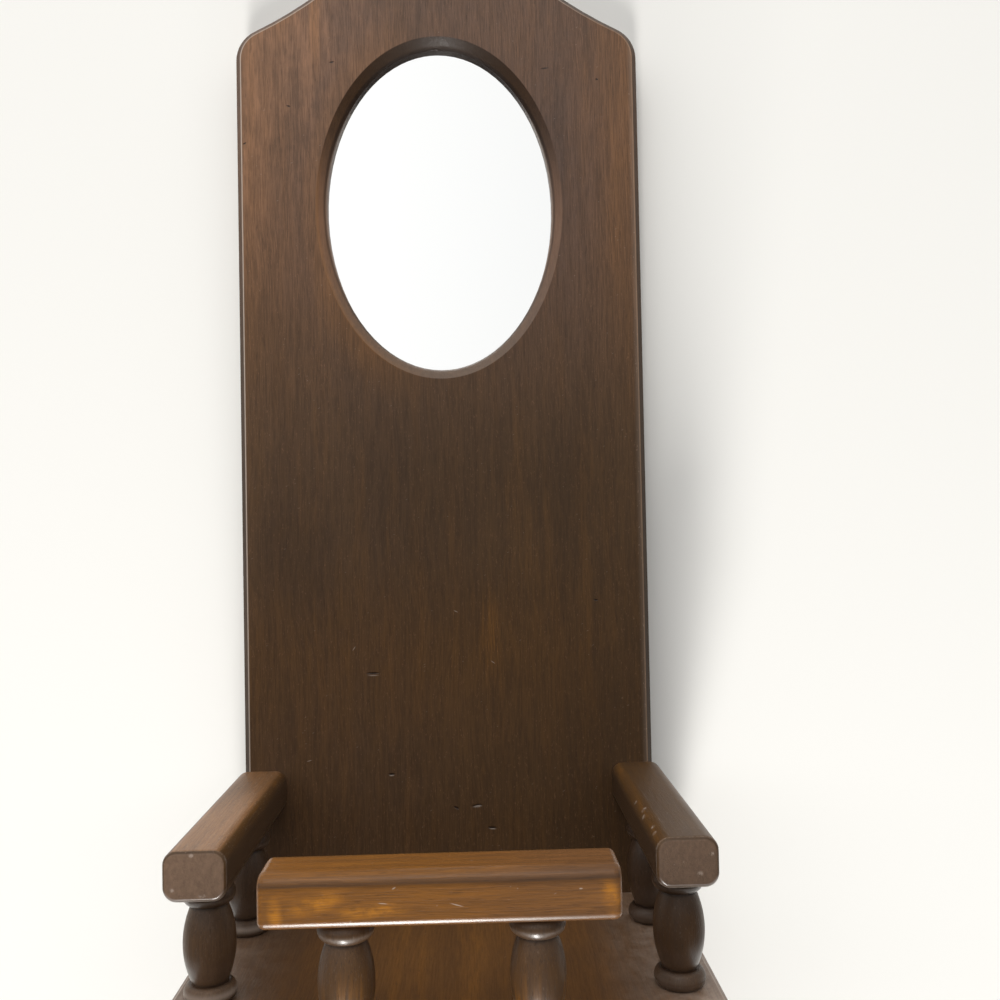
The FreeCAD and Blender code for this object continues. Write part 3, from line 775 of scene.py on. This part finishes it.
class FinishFrontRail(bpy.types.Operator):
    """Stains and wears the front rail, with amber patches where hands have worn it, and painted
    shade below its upper edge
    """

    bl_idname = "wall_mirror.finish_front_rail"
    bl_label = "Finish Front Rail"

    def execute(self, context):
        wood = context.scene.wall_mirror.wood
        surface = Surface("rail_wood_finish", GRAIN_ACROSS)
        tree, at, facing = surface.tree, surface.at, surface.facing
        grain, scuffs = surface.grain(), surface.scuffs()
        glow = times(tree, grain["Flame"], 0.30)
        colour = tint(tree, glow, wood.rail, wood.amber)
        duller = ramp(tree, at["X"], -0.005, 0.035, 0.0, 0.40)
        colour = tint(tree, duller, colour, wood.dusk)
        colour = stained(surface, colour, wood.deep, grain, 0.38, 0.28, 0.34)
        patches = marks(tree, surface.vector, rail_low.y, RAIL_AMBER, 0.1)
        broken = ramp(tree, grain["Mottle"], 0.0, 1.0, 0.25, 0.85)
        broken = times(tree, broken, ramp(tree, grain["Fibre"], 0.0, 0.6, 0.6, 1.0))
        patches = times(tree, patches, broken)
        colour = tint(tree, times(tree, patches, 0.9), colour, wood.amber)

        # Painted shade: a dark band is painted just under the rounded upper edge.
        up = facing["Z"]
        front = times(tree, facing["Y"], -1.0)
        over = times(tree, ramp(tree, up, 0.85, 0.97), band(tree, at["X"], -0.035, 0.0, 0.035))
        colour = tint(tree, times(tree, over, 0.14), colour, wood.deep)
        shade_under_edge = times(tree, band(tree, up, 0.02, 0.28, 0.62), ramp(tree, front, 0.4, 0.7))
        colour = tint(tree, times(tree, shade_under_edge, 0.58), colour, wood.deep)
        scratches = marks(tree, surface.vector, rail_low.y, RAIL_SCRATCHES, 0.3)
        scratches = reckon(tree, "MAXIMUM", scratches, times(tree, scuffs["Strokes"], 0.35))
        colour = tint(tree, times(tree, scratches, 0.6), colour, wood.worn_edge_and_highlight)
        side = reckon(tree, "ABSOLUTE", facing["X"])
        end = ramp(tree, side, 0.86, 0.97)
        colour = tint(tree, times(tree, end, 0.6), colour, wood.end_grain)
        rough = scaled(tree, grain["Fibre"], -0.06, 0.29)
        rough = scaled(tree, end, 0.15, rough)
        relief = reckon(tree, "SUBTRACT", times(tree, grain["Fibre"], 0.4), scuffs["Dents"])
        inputs = {"Base Color": colour, "Roughness": rough, "Specular IOR Level": 0.21}
        inputs.update(varnished(surface, 1.0, 1.5))
        wear_in(("front_rail",), surface.finish(inputs, relief, WOOD_DEPTH))
        return {"FINISHED"}


class FinishSpindles(bpy.types.Operator):
    """Stains the six turned spindles, darker in their grooves, with painted shade, highlights and
    sheen near their ends
    """

    bl_idname = "wall_mirror.finish_spindles"
    bl_label = "Finish Spindles"

    def execute(self, context):
        wood = context.scene.wall_mirror.wood
        surface = Surface("spindle_wood_finish", GRAIN_UP)
        tree, at = surface.tree, surface.at
        grain = surface.grain()
        up = reckon(tree, "SUBTRACT", at["Z"], shelf_high.z)
        top = reckon(tree, "SUBTRACT", rail_low.z, at["Z"])

        # Those under the front rail show amber flames low down.
        inner = ramp(tree, reckon(tree, "ABSOLUTE", at["X"]), 0.048, 0.036)
        flame = times(tree, inner, ramp(tree, up, 0.022, 0.009, 0.0, 0.70))
        flame = scaled(tree, flame, grain["Flame"], times(tree, grain["Flame"], 0.05))
        colour = tint(tree, flame, wood.spindle, wood.amber)
        # Painted light and shade: right spindles darker, left ones paler, back ones darker in the
        # shade.
        colour = tint(tree, ramp(tree, at["X"], 0.040, 0.060, 0.0, 0.44), colour, wood.deep)
        lit_paler = ramp(tree, at["X"], -0.040, -0.060, 0.0, 0.04)
        colour = tint(tree, lit_paler, colour, wood.worn_edge_and_highlight)
        colour = tint(tree, ramp(tree, at["Y"], -0.065, -0.050, 0.0, 0.40), colour, wood.deep)
        colour = stained(surface, colour, wood.deep, grain)

        # Dark grooves near both ends; painted shade at the tops under the rails,
        # painted highlight on the brim above and painted sheen on the bead below.
        near_end = reckon(tree, "MINIMUM", up, top)
        groove = band(tree, near_end, 0.0046, 0.0054, 0.0064)
        groove = reckon(tree, "MAXIMUM", groove, ramp(tree, near_end, 0.0007, 0.0))
        colour = tint(tree, times(tree, groove, 0.6), colour, GRIME)
        colour = tint(tree, ramp(tree, top, 0.0050, 0.0040, 0.0, 0.35), colour, wood.deep)
        brim = band(tree, top, 0.0022, 0.0035, 0.0046)
        brim = times(tree, brim, scaled(tree, grain["Fibre"], 0.10, 0.08))
        brim = times(tree, brim, ramp(tree, at["X"], 0.0, 0.050, 1.0, 0.4))
        colour = tint(tree, brim, colour, wood.worn_edge_and_highlight)
        bead = band(tree, up, 0.0010, 0.0028, 0.0044)
        lightened = times(tree, bead, ramp(tree, at["X"], 0.0, -0.060, 0.06, 0.42))
        colour = tint(tree, lightened, colour, wood.worn_edge_and_highlight)
        colour = tint(tree, times(tree, grain["Flecks"], 0.08), colour, wood.worn_edge_and_highlight)
        rough = scaled(tree, grain["Fibre"], -0.08, 0.46)
        relief = reckon(tree, "SUBTRACT", times(tree, grain["Fibre"], 0.5), grain["Pores"])
        inputs = {"Base Color": colour, "Roughness": rough, "Specular IOR Level": 0.3}
        inputs.update(varnished(surface, 0.8, 1.6))
        wear_in(SPINDLES, surface.finish(inputs, relief, WOOD_DEPTH))
        return {"FINISHED"}


class FinishMirror(bpy.types.Operator):
    """Silvers the oval glass, a little dulled towards its edge"""

    bl_idname = "wall_mirror.finish_mirror"
    bl_label = "Finish Mirror"

    def execute(self, context):
        fittings = context.scene.wall_mirror.fittings
        surface = Surface("mirror_finish")
        tree = surface.tree
        half = (glass_high - glass_low) / 2
        reach = from_oval(surface, (half.x, half.z))
        cloud = noise(tree, stretched(tree, surface.vector, 0.009, 0.009), 4.0, roughness=0.65)
        age = times(tree, ramp(tree, reach, 0.86, 1.0), ramp(tree, cloud, 0.45, 0.75))
        colour = tint(tree, times(tree, age, 0.5), fittings.silver, TARNISH)
        smear = noise(tree, stretched(tree, surface.vector, 0.03, 0.05), detail=3.0)
        rough = scaled(tree, smear, 0.02, 0.005)
        inputs = {"Base Color": colour, "Roughness": rough, "Metallic": 1.0}
        wear_in(("mirror_glass",), surface.finish(inputs, age, GLASS_DEPTH))
        return {"FINISHED"}


class FinishBackFittings(bpy.types.Operator):
    """Finishes the hardboard, the turn buttons and the screws behind the board"""

    bl_idname = "wall_mirror.finish_back_fittings"
    bl_label = "Finish Back Fittings"

    def execute(self, context):
        fittings = context.scene.wall_mirror.fittings
        surface = Surface("hardboard_finish")
        tree = surface.tree
        grain = surface.grain()
        felted = noise(tree, stretched(tree, surface.vector, 0.0016, 0.0022), 5.0, roughness=0.75)
        broad = noise(tree, stretched(tree, surface.vector, 0.02, 0.03), detail=3.0)
        pressed = ramp(tree, scaled(tree, broad, 0.4, times(tree, felted, 0.6)), 0.35, 0.65)
        colour = tint(tree, pressed, PRESSED_DARK, fittings.hardboard)
        colour = tint(tree, times(tree, grain["Flecks"], 0.3), colour, PRESSED_LIGHT)
        rough = scaled(tree, felted, 0.2, 0.62)
        inputs = {"Base Color": colour, "Roughness": rough}
        wear_in(("mirror_back",), surface.finish(inputs, felted, HARDBOARD_DEPTH))

        for name, pieces, size in (
            ("button_steel_finish", BUTTONS, 0.004),
            ("screw_steel_finish", SCREWS, 0.0015),
        ):
            surface = Surface(name)
            tree = surface.tree
            scuffs = surface.scuffs()
            bloom = noise(tree, stretched(tree, surface.vector, size, size), 4.0, roughness=0.65)
            dull = ramp(tree, bloom, 0.42, 0.72)
            colour = tint(tree, times(tree, dull, 0.5), fittings.zinc, DULL_ZINC)
            rough = scaled(tree, dull, 0.25, 0.3)
            rough = scaled(tree, scuffs["Strokes"], 0.2, rough)
            inputs = {"Base Color": colour, "Roughness": rough, "Metallic": 1.0}
            relief = reckon(tree, "SUBTRACT", bloom, scuffs["Strokes"])
            wear_in(pieces, surface.finish(inputs, relief, METAL_DEPTH))
        return {"FINISHED"}


class SetStage(bpy.types.Operator):
    """Sets up the wall, the floor, the light and the camera"""

    bl_idname = "wall_mirror.set_stage"
    bl_label = "Set Stage"

    def execute(self, context):
        settings = context.scene.wall_mirror.stage
        self.flat("wall", settings.wall, WALL_PLACE, WALL_TURN)
        floor_place = (0.0, FLOOR_FORWARD, board_low.z - settings.floor_drop)
        self.flat("floor", settings.floor, floor_place, (0.0, 0.0, 0.0))
        self.light_world(context, settings)
        for name, (centre, target, size, power) in LAMPS.items():
            self.lamp(name, centre, target, size, power)
        data = bpy.data.cameras.new("camera")
        data.lens = settings.lens
        data.sensor_width = FILM_WIDTH
        data.clip_start, data.clip_end = NEAREST, FARTHEST
        camera = bpy.data.objects.new("camera", data)
        camera.location = CAMERA_PLACE
        camera.rotation_euler = CAMERA_TURN
        context.collection.objects.link(camera)
        context.scene.camera = camera
        context.scene.view_settings.view_transform = "Standard"
        return {"FINISHED"}

    def flat(self, name, colour, centre, turn):
        """A plain sheet that is seen from its front alone, and lets all other light through."""
        mesh = bpy.data.meshes.new(name)
        shape = bmesh.new()
        bmesh.ops.create_grid(shape, x_segments=1, y_segments=1, size=SHEET_HALF)
        shape.to_mesh(mesh)
        shape.free()
        sheet = bpy.data.objects.new(name, mesh)
        sheet.location = centre
        sheet.rotation_euler = turn
        bpy.context.collection.objects.link(sheet)
        material = bpy.data.materials.new(name + "_paint")
        material.use_nodes = True
        tree = material.node_tree
        tree.nodes.clear()
        path = place(tree, "ShaderNodeLightPath").outputs
        seen = reckon(tree, "MAXIMUM", path["Is Camera Ray"], path["Is Glossy Ray"])
        seen = reckon(tree, "MAXIMUM", seen, path["Is Transmission Ray"])
        behind = place(tree, "ShaderNodeNewGeometry").outputs["Backfacing"]
        seen = times(tree, seen, reckon(tree, "SUBTRACT", 1.0, behind))
        paint = place(tree, "ShaderNodeBsdfDiffuse", {"Color": rgba(colour)}).outputs[0]
        clear = place(tree, "ShaderNodeBsdfTransparent").outputs[0]
        shader = place(tree, "ShaderNodeMixShader", {0: seen, 1: clear, 2: paint}).outputs[0]
        place(tree, "ShaderNodeOutputMaterial", {"Surface": shader})
        mesh.materials.append(material)

    def light_world(self, context, settings):
        """Soft light, white above, dim low down, more from the left, and white to the camera."""
        world = bpy.data.worlds.new("studio")
        context.scene.world = world
        world.use_nodes = True
        tree = world.node_tree
        tree.nodes.clear()
        way = place(tree, "ShaderNodeTexCoord").outputs["Generated"]
        toward = place(tree, "ShaderNodeSeparateXYZ", {0: way}).outputs
        path = place(tree, "ShaderNodeLightPath").outputs
        seen = reckon(tree, "MAXIMUM", path["Is Camera Ray"], path["Is Transmission Ray"])
        strength = ramp(tree, toward["Z"], 0.02, 0.16, settings.dim, settings.ambient)
        strength = times(tree, strength, ramp(tree, toward["X"], -1.0, 1.0, 1.3, 0.7))
        strength = reckon(tree, "MAXIMUM", strength, seen)
        inputs = {"Color": (1.0, 1.0, 1.0, 1.0), "Strength": strength}
        shader = place(tree, "ShaderNodeBackground", inputs)
        place(tree, "ShaderNodeOutputWorld", {"Surface": shader.outputs[0]})

    def lamp(self, name, centre, target, size, power):
        """A soft rectangular lamp that looks at a target."""
        data = bpy.data.lights.new(name, "AREA")
        data.shape = "RECTANGLE"
        data.size, data.size_y = size
        data.energy = power
        data.color = LAMP_COLOUR
        lamp = bpy.data.objects.new(name, data)
        lamp.location = centre
        way = Vector(target) - Vector(centre)
        lamp.rotation_euler = way.to_track_quat("-Z", "Y").to_euler()
        bpy.context.collection.objects.link(lamp)


class WallMirrorPanel(bpy.types.Panel):
    """Settings and steps of the wall mirror"""

    bl_idname = "VIEW3D_PT_wall_mirror"
    bl_label = "Wall Mirror"
    bl_space_type = "VIEW_3D"
    bl_region_type = "UI"
    bl_category = "Wall Mirror"

    def draw(self, context):
        settings = context.scene.wall_mirror
        for part in (settings.wood, settings.fittings, settings.stage):
            box = self.layout.box()
            for key in part.bl_rna.properties.keys():
                if key not in ("rna_type", "name"):
                    box.prop(part, key)
        for step in STEPS:
            self.layout.operator(step.bl_idname)


STEPS = (
    FinishBackboard,
    FinishShelf,
    FinishArmRails,
    FinishFrontRail,
    FinishSpindles,
    FinishMirror,
    FinishBackFittings,
    SetStage,
)
SETTINGS = (WoodSettings, FittingSettings, StageSettings, WallMirrorSettings)
CLASSES = (*SETTINGS, *STEPS, WallMirrorPanel)


def register():
    for item in CLASSES:
        bpy.utils.register_class(item)
    bpy.types.Scene.wall_mirror = bpy.props.PointerProperty(type=WallMirrorSettings)


def unregister():
    del bpy.types.Scene.wall_mirror
    for item in reversed(CLASSES):
        bpy.utils.unregister_class(item)


def main():
    register()
    bpy.ops.wall_mirror.finish_backboard()
    bpy.ops.wall_mirror.finish_shelf()
    bpy.ops.wall_mirror.finish_arm_rails()
    bpy.ops.wall_mirror.finish_front_rail()
    bpy.ops.wall_mirror.finish_spindles()
    bpy.ops.wall_mirror.finish_mirror()
    bpy.ops.wall_mirror.finish_back_fittings()
    bpy.ops.wall_mirror.set_stage()


if __name__ == "__main__":
    main()
